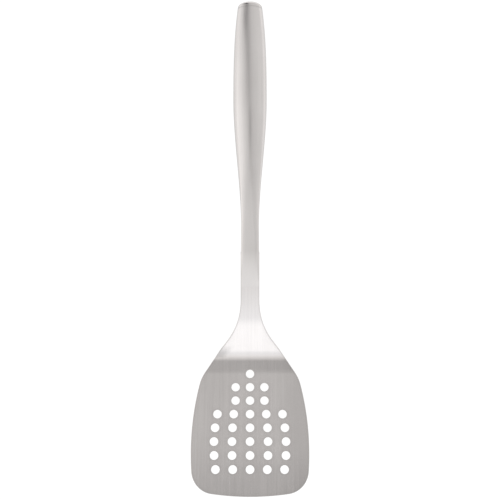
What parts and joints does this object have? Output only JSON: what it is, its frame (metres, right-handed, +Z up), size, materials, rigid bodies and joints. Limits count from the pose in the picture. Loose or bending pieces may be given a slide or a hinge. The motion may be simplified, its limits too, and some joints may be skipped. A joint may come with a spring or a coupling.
{
  "type": "slotted spatula",
  "caption": "Stainless steel kitchen turner with a perforated blade, a cranked flat neck and an arched hollow oval handle with a domed end, lying as it rests on a table.",
  "frame": {"origin": "on the table under the middle of the tool's outline", "axes": "+X across the blade, +Y along the tool from the blade's front edge towards the handle's end, +Z up from the table"},
  "size_m": [0.0806, 0.3382, 0.0279],
  "materials": {
    "blade_steel": "fine lengthwise brushing",
    "handle_steel": "satin",
    "weld_steel": "ground flush and brushed"
  },
  "bodies": {
    "root": {"blade": "blade_steel", "handle_front_shell": "handle_steel", "handle_back_shell": "handle_steel", "handle_end_cap": "handle_steel", "seam_weld_left": "weld_steel", "seam_weld_right": "weld_steel", "end_cap_weld": "weld_steel", "neck_weld_front": "weld_steel", "neck_weld_back": "weld_steel"}
  },
  "joints": []
}
